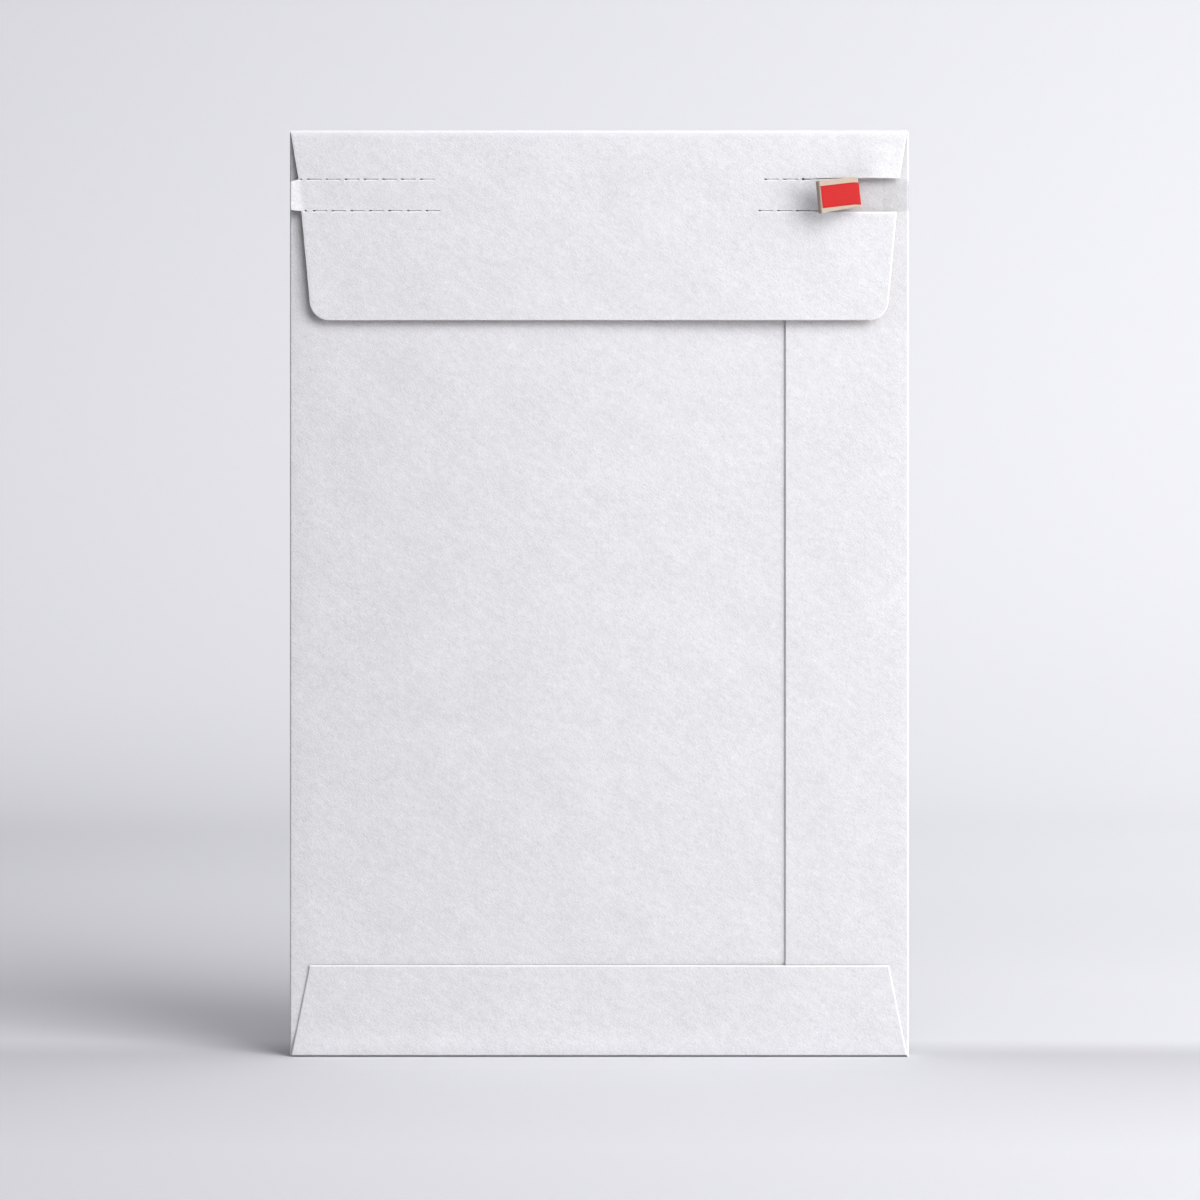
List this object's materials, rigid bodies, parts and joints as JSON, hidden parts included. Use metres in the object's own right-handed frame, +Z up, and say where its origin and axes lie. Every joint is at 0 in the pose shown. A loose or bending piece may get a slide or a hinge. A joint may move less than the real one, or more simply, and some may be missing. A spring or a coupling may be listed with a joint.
{
  "type": "envelope",
  "caption": "Rigid board mailer with a fold-over closure flap, a perforated tear strip with red tape, a glued side seam and a glued bottom flap.",
  "frame": {"origin": "centre of the base spine's flat underside", "axes": "+Z up from the base to the closure flap, +X across the face to the right when the seal side is seen, -Y out of the seal side and +Y out of the address side"},
  "size_m": [0.254, 0.0172, 0.38],
  "materials": {
    "board": "matt",
    "tape": "satin",
    "glue": "satin",
    "liner": "smooth siliconised"
  },
  "bodies": {
    "pouch": {"front_panel": "board", "left_spine": "board", "right_spine": "board", "left_back_panel": "board", "side_flap": "board", "side_seam_glue": "glue", "base_spine": "board", "bottom_flap": "board", "bottom_flap_glue": "glue"},
    "top_spine": {"top_spine": "board"},
    "closure_flap": {"flap_upper_band": "board", "flap_lower_band": "board", "seal_adhesive": "glue", "release_liner": "liner", "tear_strip_left_end": "board", "tear_tape_left_end": "tape"},
    "left_tab": {"tear_strip_left_tab": "board"},
    "tear_strip": {"tear_strip": "board", "tear_tape": "tape"},
    "strip_lifted": {"tear_strip_lifted": "board", "tear_tape_lifted": "tape"},
    "strip_tail": {"tear_strip_tail": "board", "tear_tape_tail": "tape"}
  },
  "joints": [
    {"name": "rear_crease", "type": "hinge", "parent": "pouch", "child": "top_spine", "pos_m": [0, 0.0032, 0.3795], "axis": [-1, 0, 0], "range_deg": [0, 90]},
    {"name": "front_crease", "type": "hinge", "parent": "top_spine", "child": "closure_flap", "pos_m": [0, -0.00385, 0.3795], "axis": [-1, 0, 0], "range_deg": [0, 90]},
    {"name": "tab_crease", "type": "hinge", "parent": "closure_flap", "child": "left_tab", "pos_m": [-0.1218, -0.00435, 0.35352], "axis": [0, 0, 1], "range_deg": [-12, 138]},
    {"name": "strip_peel", "type": "hinge", "parent": "closure_flap", "child": "tear_strip", "pos_m": [-0.113, -0.00435, 0.35352], "axis": [0, 0, -1], "range_deg": [0, 90]},
    {"name": "torn_end_lift", "type": "hinge", "parent": "tear_strip", "child": "strip_lifted", "pos_m": [0.0868, -0.00435, 0.35352], "axis": [0, 0, -1], "range_deg": [-9, 81]},
    {"name": "tail_fold", "type": "hinge", "parent": "strip_lifted", "child": "strip_tail", "pos_m": [0.10675, -0.00751, 0.35352], "axis": [-0.0775, 0.0123, 0.9969], "range_deg": [-20, 153]}
  ]
}
